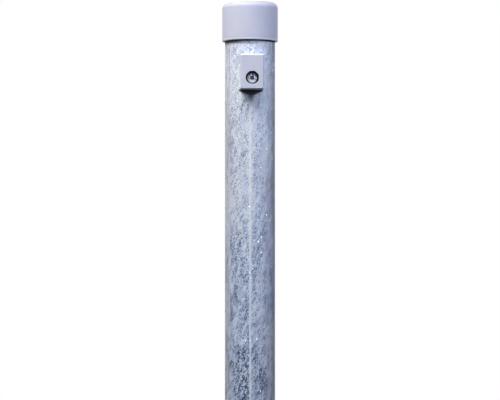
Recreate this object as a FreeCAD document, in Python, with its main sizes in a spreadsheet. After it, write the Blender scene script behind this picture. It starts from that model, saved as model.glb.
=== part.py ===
import FreeCAD, Part
import math
import os
import Sketcher

# Gate post: a round galvanised steel tube that stands upright in the ground, a push-on
# plastic cap on its top and a plastic wire holder screwed to its front.
# Millimetres, +Z up, the front faces -Y, and the origin is the centre of the tube's foot.

# name, value, what it measures
sizes = [
    ("tubeDiameter", 42.4, "outside diameter of the tube"),
    ("tubeWall", 2, "wall of the tube"),
    ("tubeLength", 1250, "length of the tube"),
    ("tubeDeburr", 0.3, "broken edges at both ends of the tube"),
    ("seamTurn", 4.5, "degrees from the front line to the weld seam"),
    ("seamProud", 0.12, "height of the weld bead on the outside"),
    ("rootProud", 0.6, "height of the weld bead on the inside"),
    ("capClearance", 0.5, "gap between the cap's skirt and the tube"),
    ("capWall", 1.9, "wall of the cap's skirt"),
    ("capSkirt", 30.7, "length of the skirt below the tube's top"),
    ("capTop", 3.5, "thickness of the cap's top at its centre"),
    ("capDome", 190, "radius of the dome of the cap's top"),
    ("capRound", 5.5, "rounding of the cap's top edge"),
    ("rimEdge", 0.4, "broken edge of the cap's rim"),
    ("ribCount", 10, "number of grip ribs inside the skirt"),
    ("ribWidth", 1.2, "width of a grip rib"),
    ("ribGap", 0.05, "gap between a grip rib and the tube"),
    ("ribStart", 2, "height of the ribs' ends above the rim"),
    ("ribLead", 3, "length of the ribs' sloping ends"),
    ("holderWidth", 20, "width of the wire holder"),
    ("holderHeight", 30, "height of the wire holder"),
    ("holderDepth", 9, "how far the holder's face stands out from the tube"),
    ("holderDrop", 43.5, "from the tube's top to the holder's top"),
    ("holderCorner", 1.5, "rounding of the holder's four corners"),
    ("holderBevel", 1.2, "bevel round the holder's face"),
    ("saddleGap", 0.03, "gap between the holder's saddle and the tube"),
    ("reliefWidth", 6, "width of the saddle's relief over the weld seam"),
    ("reliefDepth", 0.5, "depth of that relief"),
    ("channelWidth", 4.2, "width of the channel for the tension wire"),
    ("channelGap", 0.1, "from the tube's front line to the channel's round end"),
    ("channelDrop", 8, "from the holder's top to the channel's middle"),
    ("screwRise", 9.85, "from the holder's foot to the screw's axis"),
    ("counterboreDiameter", 11.2, "counterbore for the screw's head"),
    ("counterboreDepth", 4.4, "depth of that counterbore"),
    ("mouthEdge", 0.2, "broken edge of the counterbore's mouth"),
    ("screwHole", 4.7, "clearance hole through the holder"),
    ("shankDiameter", 4.2, "outside of the screw's thread"),
    ("threadGap", 0.05, "gap between the shank and the hole in the tube"),
    ("screwLength", 16, "length of the screw under its head"),
    ("screwTip", 3.5, "length of the screw's pointed end"),
    ("headDiameter", 8, "diameter of the screw's pan head"),
    ("headHeight", 2.8, "height of that head"),
    ("headCrown", 6.5, "radius of that head's crown"),
    ("recessSize", 4.2, "six-lobe recess, across two lobes"),
    ("recessLobe", 1.15, "diameter of one of its lobes"),
    ("recessDepth", 1.6, "depth of the recess"),
]

os.makedirs("parts", exist_ok=True)
doc = FreeCAD.newDocument("GatePost")
sheet = doc.addObject("Spreadsheet::Sheet", "Sizes")
for row, (alias, value, meaning) in enumerate(sizes, start=1):
    sheet.set(f"A{row}", meaning)
    sheet.set(f"B{row}", str(value))
    sheet.setAlias(f"B{row}", alias)
doc.recompute()

# Lengths that several pieces share.
tubeRadius = "Sizes.tubeDiameter / 2"
boreRadius = "(Sizes.tubeDiameter / 2 - Sizes.tubeWall)"
skirtInside = "(Sizes.tubeDiameter / 2 + Sizes.capClearance)"
holderFace = "(Sizes.tubeDiameter / 2 + Sizes.holderDepth)"
holderFoot = "(Sizes.tubeLength - Sizes.holderDrop - Sizes.holderHeight)"


def worth(expression):
    value = sheet.evalExpression(expression)
    return float(getattr(value, "Value", value))


def newBody(label):
    body = doc.addObject("PartDesign::Body", label)
    body.Label = label
    return body


def newSketch(body, name, plane, lift=None):
    # A sketch on one of the body's own planes, moved along the plane's normal by lift.
    sketch = body.newObject("Sketcher::SketchObject", name)
    feature = next(f for f in body.Origin.OriginFeatures if f.Role == plane)
    sketch.AttachmentSupport = [(feature, "")]
    sketch.MapMode = "FlatFace"
    if lift:
        sketch.setExpression("AttachmentOffset.Base.z", lift)
    return sketch


def pin(sketch, geometry, point, x, y):
    # Hold a point of the sketch at the two expressions. None leaves that way free.
    for axis, kind, expression in ((-2, "DistanceX", x), (-1, "DistanceY", y)):
        if expression is None:
            continue
        if expression == "0":
            sketch.addConstraint(Sketcher.Constraint("PointOnObject", geometry, point, axis))
            continue
        index = sketch.addConstraint(
            Sketcher.Constraint(kind, -1, 1, geometry, point, worth(expression))
        )
        sketch.setExpression(f"Constraints[{index}]", expression)


def drawCircle(sketch, x, y, diameter):
    centre = FreeCAD.Vector(worth(x), worth(y), 0)
    circle = Part.Circle(centre, FreeCAD.Vector(0, 0, 1), worth(diameter) / 2)
    geometry = sketch.addGeometry(circle, False)
    if x == y == "0":
        sketch.addConstraint(Sketcher.Constraint("Coincident", geometry, 3, -1, 1))
    else:
        pin(sketch, geometry, 3, x, y)
    index = sketch.addConstraint(Sketcher.Constraint("Diameter", geometry, worth(diameter)))
    sketch.setExpression(f"Constraints[{index}]", diameter)


def arcBetween(start, end, centreX):
    # The arc from start to end, counter-clockwise, whose centre lies at centreX.
    middle = (start + end) / 2
    chord = end - start
    centreY = middle.y - chord.x * (centreX - middle.x) / chord.y if chord.y else middle.y
    centre = FreeCAD.Vector(centreX, centreY, 0)
    circle = Part.Circle(centre, FreeCAD.Vector(0, 0, 1), (start - centre).Length)
    return Part.ArcOfCircle(circle, circle.parameter(start), circle.parameter(end))


def drawOutline(sketch, corners, arcs=None):
    # A closed outline through the corners, counter-clockwise. arcs gives the x of the
    # centre of the edge that leaves a corner, where that edge is an arc.
    arcs = arcs or {}
    points = [FreeCAD.Vector(worth(x), worth(y), 0) for x, y in corners]
    for i, point in enumerate(points):
        following = points[(i + 1) % len(points)]
        if i in arcs:
            sketch.addGeometry(arcBetween(point, following, worth(arcs[i])), False)
        else:
            sketch.addGeometry(Part.LineSegment(point, following), False)
    for i in range(len(points)):
        after = (i + 1) % len(points)
        sketch.addConstraint(Sketcher.Constraint("Coincident", i, 2, after, 1))
    for i, (x, y) in enumerate(corners):
        if x == y == "0":
            sketch.addConstraint(Sketcher.Constraint("Coincident", i, 1, -1, 1))
        else:
            pin(sketch, i, 1, x, y)
    for i, centreX in arcs.items():
        pin(sketch, i, 3, centreX, None)


def newFeature(body, kind, name, profile, **settings):
    feature = body.newObject(f"PartDesign::{kind}", name)
    feature.Profile = profile
    for key, value in settings.items():
        setattr(feature, key, value)
    return feature


def dressEdges(body, kind, name, size, chosen):
    # Fillet or chamfer the edges of the body's last feature that the test chosen picks.
    doc.recompute()
    base = body.Tip
    edges = [f"Edge{i}" for i, edge in enumerate(base.Shape.Edges, start=1) if chosen(edge)]
    feature = body.newObject(f"PartDesign::{kind}", name)
    feature.Base = (base, edges)
    feature.setExpression("Radius" if kind == "Fillet" else "Size", size)


def circleAt(edge, radius, along, place):
    # Is the edge a full circle of this radius, at this place along x, y or z?
    full = edge.isClosed() and abs(edge.Length - 2 * math.pi * radius) < 1e-3
    return full and abs(getattr(edge.Vertexes[0].Point, along) - place) < 1e-4


# The tube: a ring section turned round Z, with its weld seam and the screw's hole.

def makeTube():
    body = newBody("post_tube")
    ring = newSketch(body, "TubeSection", "XZ_Plane")
    inner, outer, end = boreRadius, tubeRadius, "Sizes.tubeLength"
    broken = "Sizes.tubeDeburr"
    drawOutline(ring, [
        (f"{inner} + {broken}", "0"),
        (f"{outer} - {broken}", "0"),
        (outer, broken),
        (outer, f"{end} - {broken}"),
        (f"{outer} - {broken}", end),
        (f"{inner} + {broken}", end),
        (inner, f"{end} - {broken}"),
        (inner, broken),
    ])
    newFeature(body, "Revolution", "TubeWall", ring, ReferenceAxis=(ring, ["V_Axis"]))

    # The bead is one round run of weld metal through the wall, proud of both faces.
    bead = newSketch(body, "BeadSection", "XY_Plane", broken)
    bead.setExpression("AttachmentOffset.Rotation.Angle", "-Sizes.seamTurn")
    thick = "(Sizes.tubeWall + Sizes.seamProud + Sizes.rootProud)"
    drawCircle(bead, "0", f"-({outer} + Sizes.seamProud - {thick} / 2)", thick)
    seam = newFeature(body, "Pad", "WeldBead", bead)
    seam.setExpression("Length", f"{end} - 2 * {broken}")

    hole = newSketch(body, "ScrewHoleCircle", "XZ_Plane")
    drawCircle(hole, "0", f"{holderFoot} + Sizes.screwRise", "Sizes.shankDiameter + 2 * Sizes.threadGap")
    drilled = newFeature(body, "Pocket", "ScrewHole", hole, Reversed=True)
    drilled.setExpression("Length", "Sizes.tubeDiameter")
    return body


# The cap: a turned cup with a domed top, and grip ribs inside its skirt. Its own z = 0
# is the face that rests on the tube's end.

def makeCap():
    body = newBody("post_cap")
    inside = skirtInside
    outside = f"({skirtInside} + Sizes.capWall)"
    section = newSketch(body, "CapSection", "XZ_Plane")
    # The edge's rounding touches the skirt and, at a share of the dome's radius, the dome.
    domeMiddle = "(Sizes.capTop - Sizes.capDome)"
    roundMiddle = f"({outside} - Sizes.capRound)"
    roundRise = f"sqrt((Sizes.capDome - Sizes.capRound)^2 - {roundMiddle}^2)"
    share = "(Sizes.capDome / (Sizes.capDome - Sizes.capRound))"
    drawOutline(section, [
        ("0", "0"),
        (inside, "0"),
        (inside, "-Sizes.capSkirt"),
        (outside, "-Sizes.capSkirt"),
        (outside, f"{domeMiddle} + {roundRise}"),
        (f"{roundMiddle} * {share}", f"{domeMiddle} + {roundRise} * {share}"),
        ("0", "Sizes.capTop"),
    ], arcs={4: roundMiddle, 5: "0"})
    newFeature(body, "Revolution", "CapShell", section, ReferenceAxis=(section, ["V_Axis"]))

    rib = newSketch(body, "RibSection", "XZ_Plane")
    tip = f"({tubeRadius} + Sizes.ribGap)"
    rooted = f"({skirtInside} + Sizes.capWall / 2)"
    low = "(-Sizes.capSkirt + Sizes.ribStart)"
    drawOutline(rib, [
        (tip, "0"),
        (tip, f"{low} + Sizes.ribLead"),
        (inside, low),
        (rooted, low),
        (rooted, "0"),
    ])
    firstRib = newFeature(body, "Pad", "GripRib", rib, SideType="Symmetric")
    firstRib.setExpression("Length", "Sizes.ribWidth")
    ribs = body.newObject("PartDesign::PolarPattern", "GripRibs")
    ribs.Originals = [firstRib]
    ribs.Axis = (rib, ["V_Axis"])
    ribs.setExpression("Occurrences", "Sizes.ribCount")
    body.Tip = ribs

    radius, rim = worth(outside), worth("-Sizes.capSkirt")
    dressEdges(body, "Chamfer", "RimEdge", "Sizes.rimEdge", lambda e: circleAt(e, radius, "z", rim))

    body.setExpression("Placement.Base.z", "Sizes.tubeLength")
    return body


# The wire holder: a moulded block with a saddle for the tube at its back, a channel
# across it for the tension wire and a counterbored hole. Its own z = 0 is its foot.

def makeHolder():
    body = newBody("wire_holder")
    halfWide = "Sizes.holderWidth / 2"
    high = "Sizes.holderHeight"
    block = newSketch(body, "HolderOutline", "XZ_Plane")
    drawOutline(block, [
        (f"-{halfWide}", "0"),
        (halfWide, "0"),
        (halfWide, high),
        (f"-{halfWide}", high),
    ])
    solid = newFeature(body, "Pad", "HolderBlock", block)
    solid.setExpression("Length", holderFace)

    face = -worth(holderFace)
    dressEdges(
        body, "Fillet", "HolderCorners", "Sizes.holderCorner",
        lambda e: abs(e.tangentAt(e.FirstParameter).y) > 0.99,
    )
    dressEdges(
        body, "Chamfer", "FaceEdges", "Sizes.holderBevel",
        lambda e: all(abs(v.Y - face) < 1e-4 for v in e.Vertexes),
    )

    # The saddle follows the tube, and its relief keeps clear of the weld seam.
    tube = newSketch(body, "SaddleCircle", "XY_Plane")
    drawCircle(tube, "0", "0", "Sizes.tubeDiameter + 2 * Sizes.saddleGap")
    newFeature(body, "Pocket", "Saddle", tube, Type="ThroughAll", SideType="Symmetric")
    seam = newSketch(body, "ReliefOutline", "XY_Plane")
    back = f"-({tubeRadius} + Sizes.reliefDepth)"
    drawOutline(seam, [
        ("-Sizes.reliefWidth / 2", back),
        ("Sizes.reliefWidth / 2", back),
        ("Sizes.reliefWidth / 2", "0"),
        ("-Sizes.reliefWidth / 2", "0"),
    ])
    newFeature(body, "Pocket", "Relief", seam, Type="ThroughAll", SideType="Symmetric")

    # The channel is open to the tube, so the wire is laid in before the screw is driven.
    wire = newSketch(body, "ChannelOutline", "YZ_Plane")
    middle = "(Sizes.holderHeight - Sizes.channelDrop)"
    low = f"{middle} - Sizes.channelWidth / 2"
    top = f"{middle} + Sizes.channelWidth / 2"
    bend = f"-({tubeRadius} + Sizes.channelGap + Sizes.channelWidth / 2)"
    drawOutline(wire, [
        ("0", low),
        ("0", top),
        (bend, top),
        (bend, low),
    ], arcs={2: bend})
    newFeature(body, "Pocket", "WireChannel", wire, Type="ThroughAll", SideType="Symmetric")

    mouth = newSketch(body, "ScrewCircle", "XZ_Plane", holderFace)
    drawCircle(mouth, "0", "Sizes.screwRise", "Sizes.screwHole")
    doc.recompute()
    hole = newFeature(body, "Hole", "ScrewHole", mouth, DepthType="ThroughAll", HoleCutType="Counterbore")
    hole.HoleCutCustomValues = True
    hole.setExpression("Diameter", "Sizes.screwHole")
    hole.setExpression("HoleCutDiameter", "Sizes.counterboreDiameter")
    hole.setExpression("HoleCutDepth", "Sizes.counterboreDepth")
    radius = worth("Sizes.counterboreDiameter / 2")
    dressEdges(body, "Chamfer", "MouthEdge", "Sizes.mouthEdge", lambda e: circleAt(e, radius, "y", face))

    body.setExpression("Placement.Base.z", holderFoot)
    return body


# The screw: a pan head with a six-lobe recess. Its own z = 0 is the head's seat and
# its head points along +Z, so it is turned to face -Y and set on the counterbore.

def makeScrew():
    body = newBody("holder_screw")
    profile = newSketch(body, "ScrewSection", "XZ_Plane")
    shank = "Sizes.shankDiameter / 2"
    head = "Sizes.headDiameter / 2"
    crownEdge = f"Sizes.headHeight - Sizes.headCrown + sqrt(Sizes.headCrown^2 - ({head})^2)"
    drawOutline(profile, [
        ("0", "-Sizes.screwLength"),
        (shank, "-(Sizes.screwLength - Sizes.screwTip)"),
        (shank, "0"),
        (head, "0"),
        (head, crownEdge),
        ("0", "Sizes.headHeight"),
    ], arcs={4: "0"})
    newFeature(body, "Revolution", "ScrewBody", profile, ReferenceAxis=(profile, ["V_Axis"]))

    core = newSketch(body, "RecessCore", "XY_Plane", "Sizes.headHeight")
    drawCircle(core, "0", "0", "Sizes.recessSize - Sizes.recessLobe")
    pocket = newFeature(body, "Pocket", "Recess", core)
    pocket.setExpression("Length", "Sizes.recessDepth")
    lobe = newSketch(body, "RecessLobe", "XY_Plane", "Sizes.headHeight")
    drawCircle(lobe, "(Sizes.recessSize - Sizes.recessLobe) / 2", "0", "Sizes.recessLobe")
    firstLobe = newFeature(body, "Pocket", "Lobe", lobe)
    firstLobe.setExpression("Length", "Sizes.recessDepth")
    lobes = body.newObject("PartDesign::PolarPattern", "Lobes")
    lobes.Originals = [firstLobe]
    lobes.Axis = (lobe, ["N_Axis"])
    lobes.Occurrences = 6
    body.Tip = lobes

    body.Placement.Rotation = FreeCAD.Rotation(FreeCAD.Vector(1, 0, 0), 90)
    body.setExpression("Placement.Base.y", f"-({holderFace} - Sizes.counterboreDepth)")
    body.setExpression("Placement.Base.z", f"{holderFoot} + Sizes.screwRise")
    return body


bodies = [makeTube(), makeCap(), makeHolder(), makeScrew()]
doc.recompute()

for item in doc.Objects:
    if "Invalid" in item.State or "Error" in item.State:
        raise RuntimeError(f"{item.Label} did not compute: {item.State}")
for body in bodies:
    for feature in body.Group:
        if feature.TypeId in ("PartDesign::Pocket", "PartDesign::Hole"):
            if feature.Shape.Volume >= feature.BaseFeature.Shape.Volume:
                raise RuntimeError(f"{feature.Label} cuts nothing")
    if body.Shape.isNull() or not body.Shape.isValid() or len(body.Shape.Solids) != 1:
        raise RuntimeError(f"{body.Label} is not one sound solid")
    print(body.Label, round(body.Shape.Volume, 1), "mm3", body.Shape.BoundBox)

for body in bodies:
    body.Shape.exportStep(f"parts/{body.Label}.step")
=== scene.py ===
import bmesh
import bpy
import math
from mathutils import Matrix, Vector


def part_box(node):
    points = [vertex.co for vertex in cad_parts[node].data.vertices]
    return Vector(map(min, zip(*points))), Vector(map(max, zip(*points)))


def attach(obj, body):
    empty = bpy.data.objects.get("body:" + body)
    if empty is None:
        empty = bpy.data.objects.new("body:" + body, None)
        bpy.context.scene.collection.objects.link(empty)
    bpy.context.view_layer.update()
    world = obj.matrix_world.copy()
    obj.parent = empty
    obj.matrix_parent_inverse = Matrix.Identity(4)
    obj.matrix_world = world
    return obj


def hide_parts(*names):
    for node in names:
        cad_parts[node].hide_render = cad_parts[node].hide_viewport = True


# Gate post: the finishes of a galvanised tube, its plastic cap, the wire holder and its
# screw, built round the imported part. Metres, +Z up, the front faces -Y.

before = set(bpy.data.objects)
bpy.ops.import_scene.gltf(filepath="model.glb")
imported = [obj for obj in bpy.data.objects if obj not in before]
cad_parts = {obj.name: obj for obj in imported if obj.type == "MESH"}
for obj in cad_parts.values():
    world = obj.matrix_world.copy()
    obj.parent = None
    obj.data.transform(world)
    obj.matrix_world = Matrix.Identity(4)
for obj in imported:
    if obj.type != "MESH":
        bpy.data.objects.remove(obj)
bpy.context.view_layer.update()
mm = 0.001
creaseAngle = 35  # degrees, past which an edge stays sharp
print("frame loaded:", ", ".join(sorted(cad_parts)))


# A socket of a node tree. Sums on wires add their Math nodes, node() adds any other.

class Wire:
    def __init__(self, tree, socket=None):
        self.tree = tree
        self.socket = socket

    def node(self, kind, settings=None, inputs=None, out=0):
        # inputs gives a value or a wire for each socket, or a list of wires that all go in.
        made = self.tree.nodes.new(kind)
        for name, value in (settings or {}).items():
            setattr(made, name, value)
        for name, value in (inputs or {}).items():
            for one in value if isinstance(value, list) else [value]:
                if isinstance(one, Wire):
                    self.tree.links.new(one.socket, made.inputs[name])
                else:
                    made.inputs[name].default_value = one
        return Wire(self.tree, made.outputs[out] if made.outputs else None)

    def out(self, name):
        return Wire(self.tree, self.socket.node.outputs[name])

    def math(self, operation, *others):
        inputs = dict(enumerate((self, *others)))
        return self.node("ShaderNodeMath", {"operation": operation}, inputs)

    def __add__(self, other):
        return self.math("ADD", other)

    def __sub__(self, other):
        return self.math("SUBTRACT", other)

    def __rsub__(self, other):
        return self.node("ShaderNodeMath", {"operation": "SUBTRACT"}, {0: other, 1: self})

    def __mul__(self, other):
        return self.math("MULTIPLY", other)

    def __truediv__(self, other):
        return self.math("DIVIDE", other)

    def __pow__(self, other):
        return self.math("POWER", other)

    def __neg__(self):
        return self.math("MULTIPLY", -1)

    def __abs__(self):
        return self.math("ABSOLUTE")

    __radd__ = __add__
    __rmul__ = __mul__

    def larger(self, other):
        return self.math("MAXIMUM", other)

    def ramp(self, low, high, start=0, end=1):
        # A straight run from start to end as the wire goes from low to high, flat beyond.
        return self.node("ShaderNodeMapRange", {}, {
            "Value": self, "From Min": low, "From Max": high, "To Min": start, "To Max": end,
        })

    def soft(self, low, high):
        # A soft run from 0 at low to 1 at high, flat beyond.
        return self.node("ShaderNodeMapRange", {"interpolation_type": "SMOOTHSTEP"}, {
            "Value": self, "From Min": low, "From Max": high,
        })

    def near(self, middle, gone, full):
        # 1 up to full away from the middle, and 0 from gone away.
        return abs(self - middle).soft(gone, full)

    def split(self):
        parts = self.node("ShaderNodeSeparateXYZ", {}, {0: self})
        return parts.out("X"), parts.out("Y"), parts.out("Z")

    def vector(self, x=0, y=0, z=0):
        return self.node("ShaderNodeCombineXYZ", {}, {"X": x, "Y": y, "Z": z})

    def vectorMath(self, operation, inputs):
        return self.node("ShaderNodeVectorMath", {"operation": operation}, {0: self, **inputs})

    def tint(self, one, other):
        # The colour one where the wire is 0 and other where it is 1. A Mix node has its
        # colours in sockets 6 and 7, and puts the mixed one out at 2.
        one, other = (c if isinstance(c, Wire) else (*c, 1) for c in (one, other))
        return self.node("ShaderNodeMix", {"data_type": "RGBA"}, {0: self, 6: one, 7: other}, 2)


def distance(one, other):
    return (one * one + other * other).math("SQRT")


def newMaterial(name):
    material = bpy.data.materials.new(name)
    material.use_nodes = True
    material.node_tree.nodes.clear()
    return material, Wire(material.node_tree)


def objectPlace(w):
    return w.node("ShaderNodeTexCoord").out("Object")


def finishMaterial(w, **sockets):
    inputs = {key.replace("_", " "): value for key, value in sockets.items()}
    shader = w.node("ShaderNodeBsdfPrincipled", {}, inputs)
    w.node("ShaderNodeOutputMaterial", {}, {"Surface": shader})


def newPiece(name, mesh, material, node):
    piece = bpy.data.objects.new(name, mesh)
    bpy.context.scene.collection.objects.link(piece)
    if mesh.materials:
        mesh.materials[0] = material
    else:
        mesh.materials.append(material)
    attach(piece, "root")
    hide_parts(node)
    print("piece", name, len(mesh.polygons), "faces")
    return piece


def turn(sectionAt, steps):
    # A closed solid turned round Z. sectionAt(angle) is its section there, (radius, height)
    # from one end on the axis to the other.
    shape = bmesh.new()
    angles = [2 * math.pi * s / steps for s in range(steps)]
    sections = [sectionAt(angle) for angle in angles]
    rings = []
    for points in list(zip(*sections))[1:-1]:
        rings.append([
            shape.verts.new((radius * math.cos(angle), radius * math.sin(angle), height))
            for angle, (radius, height) in zip(angles, points)
        ])
    ends = [shape.verts.new((0, 0, sections[0][i][1])) for i in (0, -1)]
    for s in range(steps):
        t = (s + 1) % steps
        for low, high in zip(rings, rings[1:]):
            shape.faces.new((low[s], low[t], high[t], high[s]))
        shape.faces.new((ends[0], rings[0][t], rings[0][s]))
        shape.faces.new((ends[1], rings[-1][s], rings[-1][t]))
    bmesh.ops.recalc_face_normals(shape, faces=shape.faces)
    return shape


def arc(centre, radius, start, end, steps):
    # Points (radius, height) on an arc of a section, degrees from the outward level.
    angles = [math.radians(start + (end - start) * i / steps) for i in range(steps + 1)]
    return [(centre[0] + radius * math.cos(a), centre[1] + radius * math.sin(a)) for a in angles]


def asMesh(shape, name, place=None, crease=creaseAngle):
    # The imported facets' own normals are dropped, so that joined facets shade smoothly.
    mesh = bpy.data.meshes.new(name)
    shape.to_mesh(mesh)
    shape.free()
    if "custom_normal" in mesh.attributes:
        mesh.attributes.remove(mesh.attributes["custom_normal"])
    if place:
        mesh.transform(place)
    mesh.polygons.foreach_set("use_smooth", [True] * len(mesh.polygons))
    mesh.set_sharp_from_angle(angle=math.radians(crease))
    return mesh


def grow(name, tree, values):
    # Runs a geometry tree on its own and returns the plain mesh that it makes.
    seed = bpy.data.objects.new(name, bpy.data.meshes.new(name + "Seed"))
    bpy.context.scene.collection.objects.link(seed)
    modifier = seed.modifiers.new("grow", "NODES")
    modifier.node_group = tree
    for item in tree.interface.items_tree:
        if item.name in values:
            modifier[item.identifier] = values[item.name]
    bpy.context.view_layer.update()
    graph = bpy.context.evaluated_depsgraph_get()
    mesh = bpy.data.meshes.new_from_object(seed.evaluated_get(graph), depsgraph=graph)
    mesh.name = name
    bpy.data.objects.remove(seed)
    return mesh


def newTree(name, inputs):
    # A geometry tree with named inputs. Returns the tree and a wire to its inputs.
    tree = bpy.data.node_groups.new(name, "GeometryNodeTree")
    tree.interface.new_socket("Geometry", in_out="OUTPUT", socket_type="NodeSocketGeometry")
    for label, kind in inputs.items():
        tree.interface.new_socket(label, in_out="INPUT", socket_type="NodeSocket" + kind)
    return tree, Wire(tree).node("NodeGroupInput")


def endTree(geometry, material):
    real = geometry.node("GeometryNodeRealizeInstances", {}, {"Geometry": geometry})
    done = real.node("GeometryNodeSetMaterial", {}, {"Geometry": real, "Material": material})
    done.node("NodeGroupOutput", {}, {0: done})


# Zinc: a blue-grey coat, frosty left of the weld seam and bluer right of it, with smoother,
# greyer strips at the two sides that are painted reflections, crinkled patches, runs, a pale line
# over the seam, painted highlights and painted shadows.

zincLook = {
    "frosty": (0.67, 0.71, 0.84),  # left of the seam, near the cap
    "frostyLow": (0.57, 0.655, 0.87),  # and further down
    "blue": (0.66, 0.715, 0.87),  # right of the seam
    "blueLow": (0.58, 0.65, 0.85),
    "strip": (0.62, 0.635, 0.715),  # painted reflection: the smoother, greyer coat at the two sides, which reflect the studio at a grazing angle
    "stripLow": (0.64, 0.68, 0.81),
    "band": (0.74, 0.83, 1.0),  # painted highlight: a clearer blue band before the right strip, where the fill lamp falls
    "violet": (0.43, 0.42, 0.58),  # its tinge further down
    "pale": (0.84, 0.88, 0.97),  # the coat's palest tone
    "paleLow": (0.80, 0.87, 1.0),
    "dark": (0.10, 0.15, 0.30),  # and its darkest
    "brightest": (0.92, 0.945, 1),  # what the mottle stays under
    "vein": (0.86, 0.92, 1.0),
    "seamLine": (0.97, 0.965, 1.0),
    "seamLineLow": (0.86, 0.93, 1.0),
    # painted shadow under the cap's rim and the holder
    "paintedShadow": (0.045, 0.05, 0.075),
    "speck": (0.86, 0.91, 1.0),
    "metallic": 0.03,
    "roughness": 0.5,
    "specular": 0.06,
    "lean": 0.42,  # of the mottle, sideways for each unit of height
    "bumpStrength": 0.35,
    "bumpHeight": 0.12 * mm,
    # What each mark or pattern adds to the metal's shine, to the roughness and to the bumps.
    "shine": {"speck": 0.55, "veins": 0.25, "line": 0.08},
    "rough": {"mottle": 0.25, "speck": -0.22},
    "bumps": {"mottle": 0.5, "grain": 0.35, "hollows": -0.9},
    # Where the zinc changes: the places where a change starts and where it is full. Three
    # values are a stretch's middle and how far from it the change is gone and full.
    "zones": {
        # Degrees round the tube from the seam's pale line, towards +X.
        "left": (3, -3),
        "strip": (40, 50),  # to either side of the strips' middle
        "band": (37, 9, 3),
        "paintedShade": (52, 68),  # painted shade on the right side
        "paintedShadeEnd": (150, 110),
        "besideSeam": (-40, -10),  # more crinkles towards the seam
        "inner": (-42, -14),  # dark folds, left of the seam in the roughest stretch
        # Metres below the cap's rim.
        "low": (80 * mm, 240 * mm),  # coarser and bluer
        "upper": (150 * mm, 90 * mm),  # paler right of the seam
        "bandBlue": (140 * mm, 90 * mm),
        "bandPale": (90 * mm, 40 * mm),
        "bandViolet": (200 * mm, 280 * mm),
        "deep": (320 * mm, 90 * mm, 50 * mm),  # the roughest stretch
        "clear": (145 * mm, 45 * mm, 20 * mm),  # and the smoothest
        "paintedLeftHighlight": (60 * mm, 42 * mm),  # painted highlight left of the seam, near the cap
        "paintedLeftHighlightTop": (4 * mm, 20 * mm),
        "paintedLightUnderCap": (7 * mm, 3.5 * mm),  # painted light under the cap, against its shadow
        "smoothTop": (22 * mm, 14 * mm),  # hardly any crinkles
    },
    "stripsMiddle": -4,  # degrees
    "ragged": {"left": 14, "strip": 30, "band": 20},  # how far noise moves their edges
    # How strong each pattern is everywhere, and how much more or less of it the zones have.
    "patterns": {
        "clouds": {"everywhere": 1.6, "low": 0.8, "lively": 0.5},
        "runs": {"everywhere": 0.9, "strip": 0.9},
        "middle": {"everywhere": 1.6, "low": 0.9, "coarse": 1.1, "lively": 0.5},
        "mottle": {"everywhere": 2.3, "lively": 1, "coarse": 0.2},
        "grain": {"everywhere": 4.4, "lively": 2.4, "coarse": 1},
        # More mottle where it is crinkled, how deep the hollows and veins bite there, and how
        # far the crinkled patches spread.
        "rougher": {"everywhere": 2.0, "left": 1.5, "lowLeft": -0.8, "deepLeft": 0.6},
        "bite": {"everywhere": 0.16, "left": 0.6, "deepLeft": 0.15},
        "spread": {
            "everywhere": 0, "low": 0.04, "deepLeft": 0.04, "inner": 0.16, "besideSeam": 0.07,
            "left": -0.03, "paintedLeftHighlight": -0.06, "clear": -0.06, "smoothTop": -0.12,
        },
    },
    # How much less of a pattern or a zone the strips of painted reflection have.
    "stripLacks": {"clouds": 0.45, "middle": 0.35, "fine": 0.6, "paintedLeftHighlight": 0.3, "paintedLightUnderCap": 0.6},
    # How much folds and fine patterns change the coat's tone, and how much each zone lightens
    # or darkens it.
    "tone": {
        "folds": 7.0,
        "fine": 0.3,  # mottle and grain together
        "paintedLeftHighlight": 0.5,
        "paintedLightUnderCap": 0.7,
        "clear": 0.30,
        "upperRight": 0.16,
        "bandPale": 0.14,
        "smooth": 0.05,  # between the crinkled patches
        "low": -0.10,
        "inner": -0.42,
        "deep": -0.07,
        "coarse": -0.02,
        "crinkled": -0.04,
        "crinkledLow": -0.46,
        "lowLeft": -0.04,
    },
    "swell": {  # of the mottle
        "patchy": (-0.15, 0.15, 0.35, 1.45),  # stronger in some places
        "middle": 2.4,
        "range": (-1.2, 1.8, 0.62, 1.58),
    },
    # how much painted shade darkens the right side
    "paintedShadeShare": 0.37,
    # How strongly these cover the coat.
    "laidOn": {"violet": 0.9, "hollows": 0.7, "veins": 0.85, "glints": 0.9},
    # Values of a noise where its marks start and where they are full.
    "marks": {
        "crinkled": (0, 0.10),
        "hollow": (-0.02, 0.18),
        "vein": (0.06, 0.02),
        "veinBroken": (-0.05, 0.03),
        "glint": (0.10, 0.17),
    },
    "veinBrokenDeep": 0.05,  # less broken in the roughest stretch
    "glintCoarse": 0.035,  # more painted glints in the coarse zone
    "seam": {
        "turn": 3.2,  # degrees from the front towards -X, on the bead's lit side
        "width": 1.35 * mm,
        "core": 0.3,  # of the width
        "haze": (2.4, 0.6),  # of the width, where it starts and where it is full
        "hazeShare": 0.35,
        "wander": 1.2,  # degrees
        "broken": (-0.12, 0.12, 0.7, 1),  # fainter in places
        "start": (0, 30 * mm),  # below the holder
    },
    # Painted shadow under the cap's rim and the holder: distances below the rim and the foot, and
    # from the patch's middle.
    "paintedShadowShape": {
        "rim": (2.1 * mm, 0.9 * mm),
        "middle": -0.5 * mm,  # along X
        "patch": (5.6 * mm, 4.2 * mm),
        "patchSlope": 0.42,
        "patchSides": (10.4 * mm, 9.6 * mm),
        "point": (12.5 * mm, 6.0 * mm),
        "pointSlope": 2,
        "pointShare": 0.75,
        "start": (-1 * mm, 0),
        "front": (0, -2 * mm),  # along Y, so that none lies on the tube's back
        "share": 0.94,
    },
}


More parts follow.
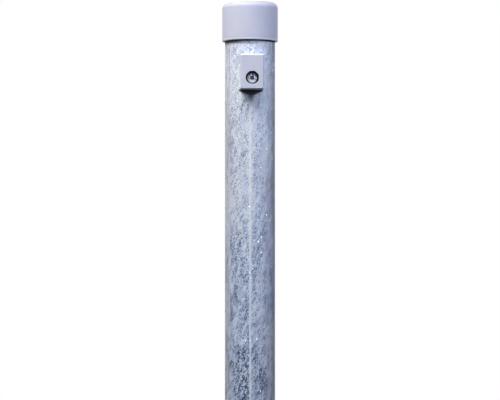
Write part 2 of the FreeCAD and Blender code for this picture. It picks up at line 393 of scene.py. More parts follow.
def blotches(place, wide, high, detail=2, roughness=0.55, seed=0, distortion=0):
    # Noise about 0 in blotches about this wide round the tube and this high along it.
    spread = place.node("ShaderNodeMapping", {}, {
        "Vector": place, "Scale": (1 / wide, 1 / wide, 1 / high),
        "Location": (seed, 2 * seed, 3 * seed),
    })
    return place.node("ShaderNodeTexNoise", {}, {
        "Vector": spread, "Scale": 1.0, "Detail": detail, "Roughness": roughness,
        "Distortion": distortion,
    }) - 0.5


def seamMask(shape, place, around, low, below, radius):
    # A pale line over the weld bead, which starts below the holder, with a haze near the top.
    wander = blotches(place, 30 * mm, 16 * mm, seed=8) * shape["wander"]
    widths = abs(around + wander) * (math.pi / 180 * radius / shape["width"])
    haze = widths.soft(*shape["haze"]) * (1 - low) * shape["hazeShare"]
    broken = blotches(place, 3 * mm, 7 * mm, detail=3, seed=10).ramp(*shape["broken"])
    return widths.soft(1, shape["core"]).larger(haze) * broken * below.soft(*shape["start"])


def paintedShadowMask(shape, x, y, down, below):
    # Painted shadow: a dark line under the cap's rim and, under the holder, a patch that runs out
    # into a point.
    side = abs(x - shape["middle"])
    patch = (side * shape["patchSlope"] + below).soft(*shape["patch"])
    patch = patch * side.soft(*shape["patchSides"])
    point = (side * shape["pointSlope"] + below).soft(*shape["point"]) * shape["pointShare"]
    shadowUnderHolder = patch.larger(point) * below.soft(*shape["start"]) * y.soft(*shape["front"])
    return down.soft(*shape["rim"]).larger(shadowUnderHolder) * shape["share"]


def strength(shares, zones):
    # A pattern's strength: its share everywhere and what each zone adds to that.
    added = [zones[name] * more for name, more in shares.items() if name != "everywhere"]
    return sum(added, shares["everywhere"])


def makeZinc(look, radius, rim, foot):
    # The rim is the cap's lower edge and foot the holder's, under which painted shadow lies.
    material, w = newMaterial("galvanised zinc")
    zones, edges, marks = look["zones"], look["ragged"], look["marks"]
    patterns, lacks, share = look["patterns"], look["stripLacks"], look["tone"]
    place = objectPlace(w)
    x, y, z = place.split()
    leaning = w.vector(x - z * look["lean"], y, z)
    around = x.math("ARCTAN2", -y) * (180 / math.pi) + look["seam"]["turn"]
    down = rim - z
    below = foot - z

    # Zones: frosty left of the seam, blue right of it, and a smoother, greyer strip at each side,
    # a painted reflection. The left is lively near the cap, and the right coarse further down.
    ragged = blotches(place, 6 * mm, 24 * mm, detail=3, seed=5)
    low = down.soft(*zones["low"])
    left = (around + ragged * edges["left"]).soft(*zones["left"])
    sideways = abs(around - look["stripsMiddle"]) + ragged * edges["strip"]
    strip = sideways.soft(*zones["strip"])
    # Painted highlight band where the fill lamp falls.
    band = (around + ragged * edges["band"]).near(*zones["band"])
    deep = down.near(*zones["deep"])
    clear = down.near(*zones["clear"]) * left
    # Painted highlight left of the seam near the cap, and painted light under the cap.
    paintedLeftHighlight = down.soft(*zones["paintedLeftHighlight"]) * down.soft(*zones["paintedLeftHighlightTop"]) * left
    paintedLightUnderCap = down.soft(*zones["paintedLightUnderCap"])
    inner = around.soft(*zones["inner"]) * left * deep
    lively = left * (1 - low)
    coarse = (1 - left) * low * (1 - strip)
    upperRight = (1 - left) * (1 - strip) * down.soft(*zones["upper"])
    # Painted shade on the right side.
    paintedShade = around.soft(*zones["paintedShade"]) * around.soft(*zones["paintedShadeEnd"])
    places = {
        "low": low, "left": left, "strip": strip, "lively": lively, "coarse": coarse,
        "inner": inner, "paintedLeftHighlight": paintedLeftHighlight, "clear": clear, "lowLeft": low * left,
        "deepLeft": deep * left, "besideSeam": around.soft(*zones["besideSeam"]) * left,
        "smoothTop": down.soft(*zones["smoothTop"]),
    }

    upperCoat = left.tint(look["blue"], look["frosty"])
    lowerCoat = left.tint(look["blueLow"], look["frostyLow"])
    coat = low.tint(upperCoat, lowerCoat)
    coat = (band * down.soft(*zones["bandBlue"])).tint(coat, look["band"])
    violet = band * down.soft(*zones["bandViolet"]) * look["laidOn"]["violet"]
    coat = violet.tint(coat, look["violet"])
    coat = strip.tint(coat, low.tint(look["strip"], look["stripLow"]))

    # Crinkled patches, over which the mottle is stronger.
    patches = blotches(place, 8 * mm, 19 * mm, seed=32)
    bare = patches + strength(patterns["spread"], places)
    crinkled = bare.soft(*marks["crinkled"]) * (1 - strip)
    mottle = blotches(leaning, 1.5 * mm, 3.2 * mm, detail=4, roughness=0.7, seed=12)
    grain = blotches(place, 0.9 * mm, 1.2 * mm, roughness=0.6, seed=3)
    rougher = crinkled * strength(patterns["rougher"], places)
    fine = (
        mottle * (strength(patterns["mottle"], places) + rougher)
        + grain * strength(patterns["grain"], places)
    )

    # Tone: above 0 the coat gets paler and under it darker. Clouds and runs lie everywhere,
    # leaning blotches and folds on the front.
    clouds = blotches(place, 11 * mm, 34 * mm, seed=26)
    runs = blotches(place, 1.7 * mm, 30 * mm, seed=4)
    middle = blotches(leaning, 3.6 * mm, 9 * mm, detail=3, seed=53)
    folds = blotches(leaning, 2.6 * mm, 7.5 * mm, seed=21)
    pattern = (
        clouds * strength(patterns["clouds"], places) * (1 - strip * lacks["clouds"])
        + runs * strength(patterns["runs"], places)
        + middle * strength(patterns["middle"], places) * (1 - strip * lacks["middle"])
        + fine * share["fine"] * (1 - strip * lacks["fine"])
        + folds * inner * share["folds"]
    )
    # Paler holds painted light: a highlight left of the seam near the cap, light under the cap
    # against its shadow, and the highlight band.
    paler = (
        paintedLeftHighlight * (share["paintedLeftHighlight"] - strip * lacks["paintedLeftHighlight"])
        + paintedLightUnderCap * (share["paintedLightUnderCap"] - strip * lacks["paintedLightUnderCap"])
        + clear * share["clear"] + upperRight * share["upperRight"]
        + band * down.soft(*zones["bandPale"]) * share["bandPale"]
        + (1 - crinkled) * (1 - strip) * share["smooth"]
    )
    darker = (
        low * (1 - strip) * (share["low"] + left * share["lowLeft"])
        + inner * share["inner"] + deep * share["deep"] + coarse * share["coarse"]
        + crinkled * left * (share["crinkled"] + low * share["crinkledLow"])
    )
    tone = pattern + paler + darker
    coat = tone.ramp(0, 1).tint(coat, low.tint(look["pale"], look["paleLow"]))
    coat = (-tone).ramp(0, 1).tint(coat, look["dark"])

    # Mottle: the coat times a swell, with painted shade on the right side.
    values = look["swell"]
    patchy = blotches(place, 5 * mm, 14 * mm, detail=1, seed=15).ramp(*values["patchy"])
    swell = (fine * patchy + middle * values["middle"]) * (1 - strip * lacks["fine"])
    shade = swell.ramp(*values["range"]) * (1 - paintedShade * look["paintedShadeShare"])
    coat = coat.vectorMath("SCALE", {"Scale": shade})
    coat = coat.vectorMath("MINIMUM", {1: look["brightest"]})

    # Crinkles: dark hollows in patches, thin shiny veins between them, and painted glints.
    bite = strength(patterns["bite"], places) * crinkled
    hollow = blotches(
        leaning, 1.8 * mm, 5.4 * mm, detail=4, roughness=0.68, seed=6, distortion=0.5,
    )
    hollows = hollow.soft(*marks["hollow"]) * bite
    vein = abs(blotches(leaning, 3.4 * mm, 8 * mm, seed=9, distortion=1.0))
    broken = (grain + deep * look["veinBrokenDeep"]).soft(*marks["veinBroken"])
    veins = vein.soft(*marks["vein"]) * broken * bite
    glint = blotches(place, 1.1 * mm, 1.4 * mm, detail=1, seed=14)
    glints = (glint + coarse * look["glintCoarse"]).soft(*marks["glint"]) * (1 - strip)
    laid = look["laidOn"]
    coat = (hollows * laid["hollows"]).tint(coat, look["dark"])
    coat = (veins * laid["veins"]).larger(glints * laid["glints"]).tint(coat, look["vein"])

    line = seamMask(look["seam"], place, around, low, below, radius)
    coat = line.tint(coat, low.tint(look["seamLine"], look["seamLineLow"]))
    paintedShadow = paintedShadowMask(look["paintedShadowShape"], x, y, down, below)
    speck = w.node("ShaderNodeAttribute", {"attribute_name": "speck"}).out("Fac") * (1 - paintedShadow)
    coat = speck.tint(paintedShadow.tint(coat, look["paintedShadow"]), look["speck"])

    shine, rough, bumps = look["shine"], look["rough"], look["bumps"]
    shiny = speck * shine["speck"] + veins * shine["veins"] + line * shine["line"]
    height = mottle * bumps["mottle"] + grain * bumps["grain"] + hollows * bumps["hollows"]
    bump = w.node("ShaderNodeBump", {}, {
        "Strength": look["bumpStrength"], "Distance": look["bumpHeight"], "Height": height,
    })
    finishMaterial(
        w, Base_Color=coat, Metallic=shiny.ramp(0, 1, look["metallic"], 1),
        Roughness=look["roughness"] + mottle * rough["mottle"] + speck * rough["speck"],
        Normal=bump, Specular_IOR_Level=look["specular"],
    )
    return material


# The post tube: a ring section run round the axis, with the weld bead, slightly wavy
# walls and a few zinc specks on its outside.

tubeShape = {
    "Radius": 21.2 * mm,
    "Wall": 2 * mm,
    "Broken edge": 0.3 * mm,
    "Seam turn": math.radians(4.5),
    "Bead height": 0.12 * mm,
    "Root height": 0.6 * mm,
    "Columns": 168,
    "Rows": 400,
    "Bore rows": 8,
    "Crowding": 0.86,  # of the columns towards the bead
    "Wave": 0.08 * mm,
    "Wave scale": 130.0,
    "Speck count": 1100,
    "Speck size": 0.62 * mm,
    "Speck height": 0.28,  # of its size
}


def tubeTree():
    kinds = {"Length": "Float", "Material": "Material"}
    for name, value in tubeShape.items():
        kinds[name] = "Int" if isinstance(value, int) else "Float"
    tree, given = newTree("post tube", kinds)
    outer, length = given.out("Radius"), given.out("Length")
    inner, broken = outer - given.out("Wall"), given.out("Broken edge")
    outerRows = given.out("Rows")
    faceRows = outerRows + given.out("Bore rows")
    rows = faceRows + 6  # two bevels and a flat at each end

    grid = given.node("GeometryNodeMeshGrid", {}, {
        "Size X": 1, "Size Y": 1,
        "Vertices X": given.out("Columns") + 1, "Vertices Y": rows + 1,
    })
    across, along, _ = given.node("GeometryNodeInputPosition").split()
    part = across * (2 * math.pi)  # -pi to pi round the tube
    row = (along + 0.5) * rows

    # Rows climb the outside, cross the top end, go down the bore and close under the foot.
    atTop = outerRows + 1
    atFoot = faceRows + 4
    straight = length - broken * 2
    height = (
        row.ramp(0, 1, 0, broken) + row.ramp(1, atTop, 0, straight)
        + row.ramp(atTop, atTop + 1, 0, broken) - row.ramp(atTop + 2, atTop + 3, 0, broken)
        - row.ramp(atTop + 3, atFoot, 0, straight) - row.ramp(atFoot, atFoot + 1, 0, broken)
    )
    outside = 1 - row.ramp(atTop + 1, atTop + 2)
    inward = row.ramp(atFoot + 1, atFoot + 2)
    bevel = (
        1 - row.ramp(0, 1) + row.ramp(atTop, atTop + 1) - row.ramp(atTop + 2, atTop + 3)
        + row.ramp(atFoot, atFoot + 1)
    ).ramp(0, 1)
    side = (outside + inward).ramp(0, 1)
    wall = side * (outer - inner) + inner
    edge = bevel * broken * (1 - side * 2)

    # Columns crowd towards the weld bead, whose section is one round run of metal.
    away = part - part.math("SINE") * given.out("Crowding")
    facing = away.math("COSINE")
    thick = given.out("Wall") + given.out("Bead height") + given.out("Root height")
    middle = outer + given.out("Bead height") - thick / 2
    reach = (thick * thick / 4 - (middle * away.math("SINE")) ** 2).larger(0).math("SQRT")
    nearBead = facing.math("GREATER_THAN", 0)
    proud = (middle * facing + reach - outer).larger(0) * nearBead
    root = (inner - middle * facing + reach).larger(0)
    root = root * nearBead * facing.math("GREATER_THAN", 0.99)  # only under the bead
    radius = wall + edge + (side * proud - (1 - side) * root) * (1 - bevel)

    turned = away - given.out("Seam turn")
    made = given.node("GeometryNodeSetPosition", {}, {
        "Geometry": grid,
        "Position": given.vector(
            radius * turned.math("SINE"), -(radius * turned.math("COSINE")), height,
        ),
    })
    closed = given.node("GeometryNodeMergeByDistance", {}, {
        "Geometry": made, "Distance": 0.001 * mm,
    })

    # Long shallow waves of the zinc, straight out from the wall.
    stretched = given.node("GeometryNodeInputPosition").vectorMath("MULTIPLY", {1: (1, 1, 0.3)})
    waves = given.node("ShaderNodeTexNoise", {}, {
        "Vector": stretched, "Scale": given.out("Wave scale"), "Detail": 2,
    }) - 0.5
    push = given.node("GeometryNodeInputNormal").vectorMath(
        "SCALE", {"Scale": waves * given.out("Wave")},
    )
    wavy = given.node("GeometryNodeSetPosition", {}, {
        "Geometry": closed, "Offset": push.vectorMath("MULTIPLY", {1: (1, 1, 0)}),
    })
    smooth = given.node("GeometryNodeSetShadeSmooth", {}, {"Geometry": wavy})

    # Specks of zinc: low domes scattered over the outside.
    x, y, _ = given.node("GeometryNodeInputPosition").split()
    skin = distance(x, y).math("GREATER_THAN", outer - broken * 0.6)
    points = given.node("GeometryNodeDistributePointsOnFaces", {}, {
        "Mesh": wavy, "Selection": skin, "Seed": 11,
        "Density": given.out("Speck count") / (outer * length * (2 * math.pi)),
    })
    smallest, largest = 2, 3  # sockets of a random number, which comes out at 1
    size = given.out("Speck size") * given.node(
        "FunctionNodeRandomValue", {"data_type": "FLOAT"},
        {smallest: 0.6, largest: 1.25, "Seed": 4}, 1,
    )
    dome = given.node("GeometryNodeMeshUVSphere", {}, {"Segments": 6, "Rings": 4, "Radius": 1})
    specks = given.node("GeometryNodeInstanceOnPoints", {}, {
        "Points": points, "Instance": dome, "Rotation": points.out("Rotation"),
        "Scale": given.vector(size, size * 1.2, size * given.out("Speck height")),
    })
    real = given.node("GeometryNodeRealizeInstances", {}, {"Geometry": specks})
    marked = given.node(
        "GeometryNodeStoreNamedAttribute", {"data_type": "FLOAT", "domain": "POINT"}, {
            "Geometry": given.node("GeometryNodeSetShadeSmooth", {}, {"Geometry": real}),
            "Name": "speck", "Value": 1,
        },
    )
    joined = given.node("GeometryNodeJoinGeometry", {}, {0: [smooth, marked]})
    endTree(joined, given.out("Material"))
    return tree


tubeFoot, tubeTop = (corner.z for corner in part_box("post_tube"))
capRim, holderFoot = (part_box(node)[0].z for node in ("post_cap", "wire_holder"))  # lower edges
zinc = makeZinc(zincLook, tubeShape["Radius"], capRim, holderFoot)
tubeMesh = grow("postTube", tubeTree(), {
    "Length": tubeTop - tubeFoot, "Material": zinc, **tubeShape,
})
tubeMesh.set_sharp_from_angle(angle=math.radians(creaseAngle))
newPiece("post_tube_zinc", tubeMesh, zinc, "post_tube")


# The cap: a moulded cup with a domed top, and grip ribs between its skirt and the tube.

capShape = {
    "wall": 1.9 * mm,
    "edgeRound": 5.5 * mm,
    "domeRadius": 190 * mm,
    "rimRound": 0.4 * mm,
    "steps": 128,
    "ribs": 10,
    "ribWidth": 1.2 * mm,
    "ribAboveRim": 2 * mm,
    "ribLead": 3 * mm,
    "ribClear": 0.05 * mm,
}
capLook = {
    "shade": (0.585, 0.59, 0.71),
    "pale": (0.62, 0.625, 0.74),
    # painted highlight along the rim
    "edge": (0.90, 0.91, 1.0),
    # painted shade over the top
    "dust": (0.385, 0.38, 0.44),
    "roughness": 0.55,
    "specular": 0.35,
    "edgeAt": (1.9 * mm, 1.2 * mm),  # painted highlight, this far above the rim
    "edgeShare": 0.85,
    "dustAt": (5.5 * mm, 1.5 * mm),  # painted shade, this far under the top
}
plasticLook = {  # of both mouldings
    "clouds": (45, 2),  # scale and detail of a noise
    "clouded": (0.35, 0.65),  # where its clouds start and where they are full
    "grain": (2600, 1),
    "uneven": 0.08,  # of the roughness
    "bumpStrength": 0.25,
    "bumpHeight": 0.04 * mm,
}


def makePlastic(name, look, marks):
    # Matt moulded plastic. marks gives pairs of a mask and the look's colour that it lays on.
    material, w = newMaterial(name)
    place = objectPlace(w)
    cloud, grain = (
        w.node("ShaderNodeTexNoise", {}, {"Vector": place, "Scale": scale, "Detail": detail})
        for scale, detail in (plasticLook["clouds"], plasticLook["grain"])
    )
    colour = cloud.soft(*plasticLook["clouded"]).tint(look["shade"], look["pale"])
    for mask, laid in marks(look, *place.split()):
        colour = mask.tint(colour, look[laid])
    bump = w.node("ShaderNodeBump", {}, {
        "Strength": plasticLook["bumpStrength"], "Distance": plasticLook["bumpHeight"],
        "Height": grain,
    })
    rough = look["roughness"] + (cloud - 0.5) * plasticLook["uneven"]
    finishMaterial(
        w, Base_Color=colour, Roughness=rough, Normal=bump, Specular_IOR_Level=look["specular"],
    )
    return material


def capSection(shape, radius, rim, seat, apex):
    inner = radius - shape["wall"]
    corner = shape["edgeRound"]
    dome = shape["domeRadius"]
    middle = apex - dome
    rise = math.sqrt((dome - corner) ** 2 - (radius - corner) ** 2)
    tilt = math.degrees(math.atan2(rise, radius - corner))
    small = shape["rimRound"]
    return (
        [(0, seat), (inner * 0.5, seat), (inner, seat), (inner, rim)]
        + arc((radius - small, rim + small), small, -90, 0, 4)
        + [(radius, rim + (seat - rim) * k / 8) for k in range(1, 8)]
        + arc((radius - corner, middle + rise), corner, 0, tilt, 12)
        + arc((0, middle), dome, tilt, 90, 10)[1:]
    )


def ribTree():
    tree, given = newTree("grip ribs", {
        "Count": "Int", "Width": "Float", "Inside": "Float", "Outside": "Float",
        "Bottom": "Float", "Top": "Float", "Lead": "Float", "Material": "Material",
    })
    inside, outside = given.out("Inside"), given.out("Outside")
    bottom, top = given.out("Bottom"), given.out("Top")
    block = given.node("GeometryNodeMeshCube", {}, {"Size": (1, 1, 1)})
    x, y, z = given.node("GeometryNodeInputPosition").split()
    out, up = x + 0.5, z + 0.5
    # The rib's lower end slopes, so the cap starts on the tube by itself.
    slope = given.out("Lead") * (1 - out) * (1 - up)
    rib = given.node("GeometryNodeSetPosition", {}, {
        "Geometry": block,
        "Position": given.vector(
            inside + out * (outside - inside), y * given.out("Width"),
            bottom + up * (top - bottom) + slope,
        ),
    })
    spread = given.node("GeometryNodeMeshCircle", {}, {
        "Vertices": given.out("Count"), "Radius": 0,
    })
    share = given.out("Count") ** -1 * (2 * math.pi)
    ribs = given.node("GeometryNodeInstanceOnPoints", {}, {
        "Points": spread, "Instance": rib,
        "Rotation": given.vector(z=given.node("GeometryNodeInputIndex") * share),
    })
    endTree(ribs, given.out("Material"))
    return tree


def capMarks(look, x, y, z):
    # A painted highlight along the rim and painted shade over the top.
    edge = (z - capRim).soft(*look["edgeAt"]) * look["edgeShare"]
    return [(edge, "edge"), ((capApex - z).soft(*look["dustAt"]), "dust")]


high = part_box("post_cap")[1]
capApex, capRadius = high.z, high.x
capPlastic = makePlastic("cap plastic", capLook, capMarks)
capOutline = capSection(capShape, capRadius, capRim, tubeTop, capApex)
capBody = turn(lambda angle: capOutline, capShape["steps"])
capBody.from_mesh(grow("capRibs", ribTree(), {
    "Count": capShape["ribs"], "Width": capShape["ribWidth"],
    "Inside": tubeShape["Radius"] + capShape["ribClear"],
    "Outside": capRadius - capShape["wall"] / 2, "Bottom": capRim + capShape["ribAboveRim"],
    "Top": tubeTop, "Lead": capShape["ribLead"], "Material": capPlastic,
}))
bmesh.ops.recalc_face_normals(capBody, faces=capBody.faces)
newPiece("post_cap_moulding", asMesh(capBody, "postCap"), capPlastic, "post_cap")


# The wire holder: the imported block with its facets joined, so that its roundings are smooth.

holderShape = {
    "counterbore": 5.6 * mm,  # radius
    "merge": 0.002 * mm,  # facets' corners this near are one
    "smallest": 0.001 * mm,  # shorter edges go
    "crease": 28,  # degrees
}
holderLook = {
    "shade": (0.68, 0.685, 0.80),
    "pale": (0.71, 0.715, 0.83),
    # painted highlight round the counterbore's mouth
    "edge": (0.80, 0.80, 0.90),
    # painted highlight along the lower front
    "lip": (0.95, 0.95, 1.0),
    # painted shade along the top
    "dust": (0.45, 0.45, 0.53),
    # painted shade in the counterbore
    "hollow": (0.02, 0.024, 0.045),
    # painted shade on the underside
    "under": (0.12, 0.12, 0.16),
    "roughness": 0.5,
    "specular": 0.12,
    # Where each mark starts and where it is full: round the counterbore's edge, behind the
    # front, above the foot or under the top.
    "mouthRound": (1.0 * mm, 0.35 * mm),
    "mouthBehind": (0.6 * mm, 0.3 * mm),
    "mouthShare": 0.8,
    "sunkRound": (0.25 * mm, 0.1 * mm),
    "sunkBehind": (0.1 * mm, 0.7 * mm),
    "sunkHeights": (-5 * mm, -2 * mm, 0.45, 1),  # less low down, where light falls in
    "underAbove": (0.3 * mm, 0),
    "underBehind": (0.9 * mm, 1.3 * mm),
    "lipAbove": (2.4 * mm, 1.0 * mm),
    "dustUnder": (0.9 * mm, 0.3 * mm),
    "dustShare": 0.8,
}


def holderMarks(look, x, y, z):
    # Painted light: a highlight round the mouth of the counterbore and along the lower front,
    # and painted shade in the counterbore, under the block and along its top.
    rise = z - screwHeight
    away = distance(x, rise) - holderShape["counterbore"]
    behind = y - holderFront
    above = z - holderFoot
    mouth = abs(away).soft(*look["mouthRound"]) * behind.soft(*look["mouthBehind"])
    sunk = away.soft(*look["sunkRound"]) * behind.soft(*look["sunkBehind"])
    topShaded = (holderTop - z).soft(*look["dustUnder"])
    return [
        (mouth * look["mouthShare"], "edge"),
        (above.soft(*look["lipAbove"]), "lip"),
        (topShaded * look["dustShare"], "dust"),
        (sunk * rise.ramp(*look["sunkHeights"]), "hollow"),
        (above.soft(*look["underAbove"]) * behind.soft(*look["underBehind"]), "under"),
    ]


low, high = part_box("wire_holder")
holderFront, holderTop = low.y, high.z
screwLow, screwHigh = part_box("holder_screw")
screwHeight = (screwLow.z + screwHigh.z) / 2
holderPlastic = makePlastic("holder plastic", holderLook, holderMarks)
holderBody = bmesh.new()
holderBody.from_mesh(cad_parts["wire_holder"].data)
bmesh.ops.remove_doubles(holderBody, verts=holderBody.verts, dist=holderShape["merge"])
bmesh.ops.dissolve_degenerate(
    holderBody, edges=holderBody.edges, dist=holderShape["smallest"],
)
holderMesh = asMesh(holderBody, "wireHolder", crease=holderShape["crease"])
holder = newPiece(
    "wire_holder_moulding", holderMesh, holderPlastic, "wire_holder",
)
weigh = holder.modifiers.new("flat faces stay flat", "WEIGHTED_NORMAL")
weigh.keep_sharp = True


# The holder's screw: a pan head with a six-lobe recess, and a thread on its shank.

screwShape = {
    "head": 4 * mm,
    "headHeight": 2.8 * mm,
    "crown": 6.5 * mm,
    "headRound": 0.5 * mm,
    "shank": 2.1 * mm,
    "core": 1.55 * mm,
    "recessAcross": 4.2 * mm,
    "recessLobe": 1.15 * mm,
    "recessDepth": 1.6 * mm,
    "recessLobes": 6,
    "recessTurn": 25,  # degrees
    "recessCone": 0.25 * mm,
    "recessBreak": 0.12 * mm,
    "smallStep": 0.1 * mm,
    "length": 16 * mm,
    "tip": 3.5 * mm,
    "pitch": 1.4 * mm,
    "threadGap": 0.6,  # of a pitch, under the head
    "threadSunk": 0.05 * mm,  # into the core
    "threadSteps": 24,
    "steps": 120,
}
steelLook = {
    # bright and paintedShade are lit and shaded copies of the steel, chosen by worn patches and by
    # painted shade up the head
    "bright": (0.72, 0.80, 0.92),
    "paintedShade": (0.20, 0.24, 0.31),
    # painted shade down in the recess
    "recess": (0.05, 0.07, 0.11),
    "metallic": 0.9,
    "recessMetallic": 0.4,
    "roughness": 0.16,
    "wear": 700,  # scale of its noise
    "shadeUpHead": 0.12 / mm,  # painted shade, growing up the head
    "recessBehind": (0.25 * mm, 0.6 * mm),
    "recessRound": (2.6 * mm, 2.2 * mm),
}


def recessRing(shape):
    # Radius of the ring on which the recess's lobes have their centres.
    return (shape["recessAcross"] - shape["recessLobe"]) / 2


def crownAt(shape, radius):
    # Height of the head's crown at this radius, from the head's seat.
    crown = shape["crown"]
    return shape["headHeight"] - crown + math.sqrt(crown ** 2 - radius ** 2)


def screwSection(shape, angle):
    lobe = shape["recessLobe"] / 2
    ring = recessRing(shape)
    between = 360 / shape["recessLobes"]
    turned = (math.degrees(angle) - shape["recessTurn"]) % between
    turned = math.radians(min(turned, between - turned))
    reach = lobe ** 2 - (ring * math.sin(turned)) ** 2
    star = ring * math.cos(turned) + math.sqrt(reach) if reach > 0 else 0
    star = max(star, ring)
    edge = shape["head"] - shape["headRound"]
    bow = math.degrees(math.acos(edge / shape["crown"]))
    shoulder = crownAt(shape, edge) - shape["headRound"] * math.sin(math.radians(bow))
    floor = shape["headHeight"] - shape["recessDepth"]
    length = shape["length"]
    small = shape["smallStep"]
    rim = crownAt(shape, star)
    recess = [
        (0, floor - shape["recessCone"]), (star * 0.8, floor), (star * 0.94, floor + small),
        (star, rim - shape["recessBreak"]), (star + small, rim),
    ]
    onCrown = [star + (edge - star) * k / 6 for k in range(1, 7)]
    shank = [
        (shape["head"], 0), (shape["core"], 0), (shape["core"], shape["tip"] - length),
        (small, small - length), (0, -length),
    ]
    return (
        recess + [(radius, crownAt(shape, radius)) for radius in onCrown]
        + arc((edge, shoulder), shape["headRound"], bow, 0, 4)[1:] + shank
    )


def threadTree():
    tree, given = newTree("screw thread", {
        "Root": "Float", "Crest": "Float", "Pitch": "Float", "Turns": "Float",
        "Tip turns": "Float", "Steps": "Int", "Material": "Material",
    })
    root, crest, pitch = given.out("Root"), given.out("Crest"), given.out("Pitch")
    runs = []
    for turns, start, lift in (
        (given.out("Turns"), root, given.out("Tip turns") * pitch),
        (given.out("Tip turns"), root * 0.1, 0),
    ):
        spiral = given.node("GeometryNodeCurveSpiral", {}, {
            "Resolution": given.out("Steps"), "Rotations": turns, "Start Radius": start,
            "End Radius": root, "Height": turns * pitch,
        })
        runs.append(given.node("GeometryNodeTransform", {}, {
            "Geometry": spiral, "Translation": given.vector(z=lift),
        }))
    ridge = given.node("GeometryNodeCurvePrimitiveCircle", {"mode": "RADIUS"}, {
        "Resolution": 4, "Radius": crest - root,
    })
    path = given.node("GeometryNodeJoinGeometry", {}, {0: runs})
    thread = given.node("GeometryNodeCurveToMesh", {}, {
        "Curve": path, "Profile Curve": ridge, "Fill Caps": True,
    })
    endTree(thread, given.out("Material"))
    return tree


def makeSteel(look, front):
    # Painted highlight low on the head's crown, painted shade up the head and down in the recess,
    # with worn patches.
    material, w = newMaterial("bright screw steel")
    place = objectPlace(w)
    worn = w.node("ShaderNodeTexNoise", {}, {"Vector": place, "Scale": look["wear"], "Detail": 3})
    x, y, z = place.split()
    rise = z - screwHeight
    lit = (worn * 0.9 - 0.1 - rise * look["shadeUpHead"]).soft(0, 0.8)
    sunk = (y - front).soft(*look["recessBehind"])
    sunk = sunk * distance(x, rise).soft(*look["recessRound"])
    colour = sunk.tint(lit.tint(look["paintedShade"], look["bright"]), look["recess"])
    finishMaterial(
        w, Base_Color=colour,
        Metallic=look["metallic"] - sunk * (look["metallic"] - look["recessMetallic"]),
        Roughness=look["roughness"] + worn * 0.2 + sunk * 0.3,
    )
    return material


steel = makeSteel(steelLook, screwLow.y)
shankTurns = (screwShape["length"] - screwShape["tip"]) / screwShape["pitch"]
threadMesh = grow("screwThread", threadTree(), {
    "Root": screwShape["core"] - screwShape["threadSunk"], "Crest": screwShape["shank"],
    "Pitch": screwShape["pitch"], "Turns": shankTurns - screwShape["threadGap"],
    "Tip turns": screwShape["tip"] / screwShape["pitch"],
    "Steps": screwShape["threadSteps"], "Material": steel,
})
threadMesh.transform(Matrix.Translation((0, 0, -screwShape["length"])))
screwBody = turn(lambda angle: screwSection(screwShape, angle), screwShape["steps"])
screwBody.from_mesh(threadMesh)
bmesh.ops.recalc_face_normals(screwBody, faces=screwBody.faces)
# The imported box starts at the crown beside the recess, whose valleys reach the lobes' ring.
headSeat = screwLow.y + crownAt(screwShape, recessRing(screwShape))
onAxis = Matrix.Translation((0, headSeat, screwHeight)) @ Matrix.Rotation(math.radians(90), 4, "X")
screwMesh = asMesh(screwBody, "holderScrew", onAxis)
newPiece("holder_screw_steel", screwMesh, steel, "holder_screw")


# Camera: level with the upper part of the post, a little to the left of its front.

cameraPlace = {"turn": -3.8, "out": 1.888, "height": 1.035, "tilt": 1.51, "lens": 160.4}


def roundPost(place):
    # This far out from the post's axis, turned from the front towards +X.
    angle = math.radians(place["turn"])
    out = place["out"]
    return Vector((math.sin(angle) * out, -math.cos(angle) * out, place["height"]))


eye = bpy.data.objects.new("camera", bpy.data.cameras.new("camera"))
eye.data.lens = cameraPlace["lens"]
eye.location = roundPost(cameraPlace)
eye.rotation_euler = (
    math.radians(90 + cameraPlace["tilt"]), 0, math.radians(cameraPlace["turn"]),
)
bpy.context.scene.collection.objects.link(eye)
bpy.context.scene.camera = eye
bpy.context.scene.view_settings.view_transform = "Standard"


# Light: white key and top lamps from the front left, above the cap, cooler front and fill
# lamps from the right, soft ones for the middle, the foot, the right side and the back, and
# an even sky. Turns in degrees, sizes and places in metres.

lamps = [
    {"name": "key", "turn": -60, "out": 0.36, "height": 1.75, "aim": 1.19, "size": (0.36, 0.28),
     "watts": 1.88, "colour": (1.0, 1.0, 1.0), "spread": 120},
    {"name": "top", "turn": -35, "out": 0.36, "height": 1.75, "aim": 1.19, "size": (0.36, 0.28),
     "watts": 1.2, "colour": (1.0, 1.0, 1.0), "spread": 120},
    {"name": "front", "turn": 35, "out": 0.55, "height": 1.32, "aim": 1.19, "size": (0.24, 0.24),
     "watts": 0.30, "colour": (0.73, 0.81, 1.0), "spread": 120},
    {"name": "fill", "turn": 60, "out": 0.50, "height": 1.58, "aim": 1.19, "size": (0.32, 0.24),
     "watts": 0.66, "colour": (0.72, 0.79, 1.0), "spread": 120},
    {"name": "middle", "turn": -20, "out": 1.3, "height": 1.3, "aim": 0.82, "size": (0.3, 0.3),
     "watts": 0.11, "colour": (0.86, 0.92, 1.0), "spread": 32},
    {"name": "low", "turn": -20, "out": 1.3, "height": 1.0, "aim": 0.15, "size": (0.4, 0.4),
     "watts": 0.85, "colour": (1.0, 0.99, 0.97), "spread": 34},
    {"name": "side", "turn": 112, "out": 1.6, "height": 0.9, "aim": 0.35, "size": (0.5, 0.5),
     "watts": 0.75, "colour": (1.0, 0.99, 0.97), "spread": 34},
    {"name": "back", "turn": 180, "out": 1.7, "height": 1.9, "aim": 0.7, "size": (0.7, 1.0),
     "watts": 5, "colour": (0.92, 0.96, 1.0), "spread": 60},
]
skyLight = {"colour": (0.60, 0.76, 1.0), "strength": 0.27, "from": 0.25, "full": 0.7}

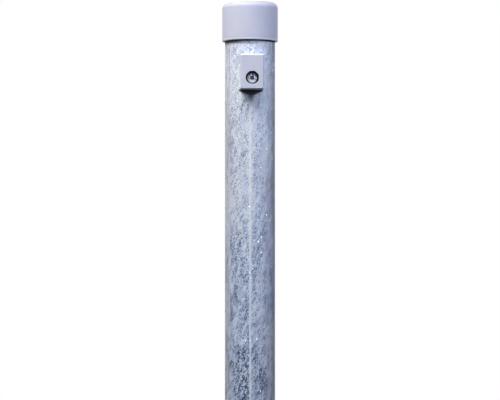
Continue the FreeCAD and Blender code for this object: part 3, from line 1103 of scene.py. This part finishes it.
for lamp in lamps:
    light = bpy.data.lights.new(lamp["name"], "AREA")
    light.shape = "RECTANGLE"
    light.size, light.size_y = lamp["size"]
    light.energy = lamp["watts"]
    light.color = lamp["colour"]
    light.spread = math.radians(lamp["spread"])
    made = bpy.data.objects.new(lamp["name"], light)
    made.location = roundPost(lamp)
    aim = Vector((0, 0, lamp["aim"])) - made.location
    made.rotation_euler = aim.to_track_quat("-Z", "Y").to_euler()
    bpy.context.scene.collection.objects.link(made)


def seenAsWhite(w):
    # 1 where the camera, a reflection or glass looks: these see a white studio.
    rays = w.node("ShaderNodeLightPath")
    seen = rays.out("Is Camera Ray").larger(rays.out("Is Glossy Ray"))
    return seen.larger(rays.out("Is Transmission Ray"))


world = bpy.data.worlds.new("studio")
bpy.context.scene.world = world
world.use_nodes = True
world.node_tree.nodes.clear()
w = Wire(world.node_tree)
_, _, up = w.node("ShaderNodeTexCoord").out("Generated").split()
sky = up.soft(skyLight["from"], skyLight["full"]).tint((0, 0, 0), skyLight["colour"])
skyGlow = w.node("ShaderNodeBackground", {}, {"Color": sky, "Strength": skyLight["strength"]})
white = w.node("ShaderNodeBackground", {}, {"Color": (1, 1, 1, 1), "Strength": 1})
mixed = w.node("ShaderNodeMixShader", {}, {0: seenAsWhite(w), 1: skyGlow, 2: white})
w.node("ShaderNodeOutputWorld", {}, {"Surface": mixed})


# Floor: a pale disc that keeps the post's shadow and runs out into white.

floorShape = {"radius": 9, "shadowTo": 0.5, "whiteFrom": 3.0, "steps": 96}
floorLook = {"pale": (0.86, 0.87, 0.88, 1), "white": (1, 1, 1, 1), "whiteNear": 0.78}


def makeFloor(shape, look):
    material, w = newMaterial("pale floor")
    x, y, _ = objectPlace(w).split()
    outward = distance(x, y).soft(shape["shadowTo"], shape["whiteFrom"])
    whiter = look["whiteNear"] + outward * (1 - look["whiteNear"])
    plain = w.node("ShaderNodeBsdfDiffuse", {}, {"Color": look["pale"]})
    white = w.node("ShaderNodeEmission", {}, {"Color": look["white"], "Strength": 1})
    mixed = w.node("ShaderNodeMixShader", {}, {0: whiter * seenAsWhite(w), 1: plain, 2: white})
    w.node("ShaderNodeOutputMaterial", {}, {"Surface": mixed})
    disc = bmesh.new()
    bmesh.ops.create_circle(disc, cap_ends=True, radius=shape["radius"], segments=shape["steps"])
    mesh = bpy.data.meshes.new("floor")
    disc.to_mesh(mesh)
    disc.free()
    mesh.materials.append(material)
    floor = bpy.data.objects.new("floor", mesh)
    bpy.context.scene.collection.objects.link(floor)
    floor.visible_diffuse = False  # undersides stay as dark as they are outdoors


makeFloor(floorShape, floorLook)
print("camera, light and floor set")
